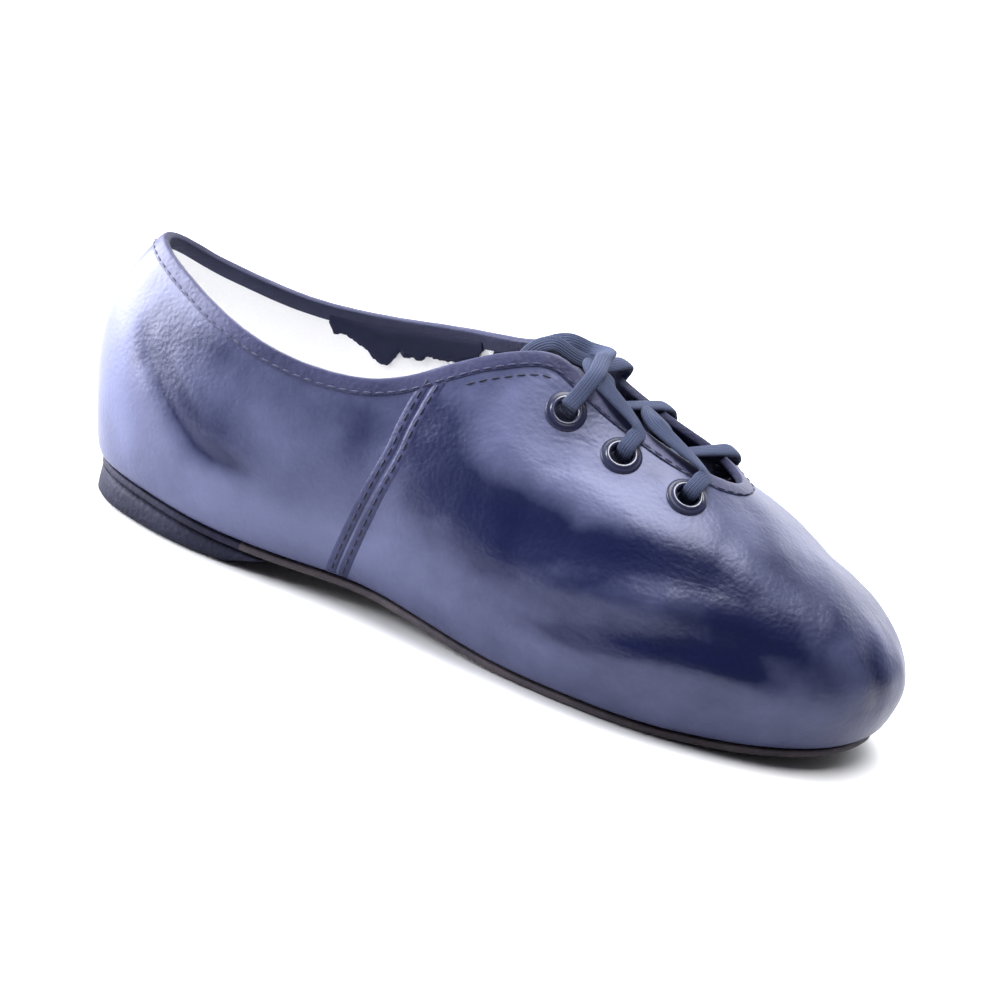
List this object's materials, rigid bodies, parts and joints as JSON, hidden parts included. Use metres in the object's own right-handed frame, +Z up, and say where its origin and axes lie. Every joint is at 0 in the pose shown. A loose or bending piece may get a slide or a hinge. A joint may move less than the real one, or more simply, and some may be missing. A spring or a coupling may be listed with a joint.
{
  "type": "jazz shoe",
  "caption": "Right jazz dance shoe, soft and laced, with a bound collar, a thin full sole and a low heel. It stands empty and flat, as on a floor.",
  "frame": {"origin": "on the floor, in the middle of the heel's flat underside", "axes": "+X from heel to toe, +Y to the inner (big toe) side, +Z up"},
  "size_m": [0.2111, 0.0806, 0.0734],
  "materials": {
    "upper": "smooth satin dark blue leather",
    "outsole": "matte brown-grey cut edge",
    "insole": "matte white lining",
    "heel": "matte",
    "collar_binding": "matte",
    "tongue": "matte",
    "eyelet_outer_1": "glossy dark enamel",
    "eyelet_outer_2": "glossy dark enamel",
    "eyelet_outer_3": "glossy dark enamel",
    "eyelet_inner_1": "glossy dark enamel",
    "eyelet_inner_2": "glossy dark enamel",
    "eyelet_inner_3": "glossy dark enamel",
    "lace_crossing_high": "matte woven cotton",
    "lace_crossing_low": "matte woven cotton",
    "lace_end_outer": "matte woven cotton",
    "lace_end_inner": "matte woven cotton"
  },
  "bodies": {
    "root": {"upper": "upper", "outsole": "outsole", "insole": "insole", "heel": "heel", "collar_binding": "collar_binding", "tongue": "tongue", "eyelet_outer_1": "eyelet_outer_1", "eyelet_outer_2": "eyelet_outer_2", "eyelet_outer_3": "eyelet_outer_3", "eyelet_inner_1": "eyelet_inner_1", "eyelet_inner_2": "eyelet_inner_2", "eyelet_inner_3": "eyelet_inner_3", "lace_crossing_high": "lace_crossing_high", "lace_crossing_low": "lace_crossing_low", "lace_end_outer": "lace_end_outer", "lace_end_inner": "lace_end_inner"}
  },
  "joints": []
}
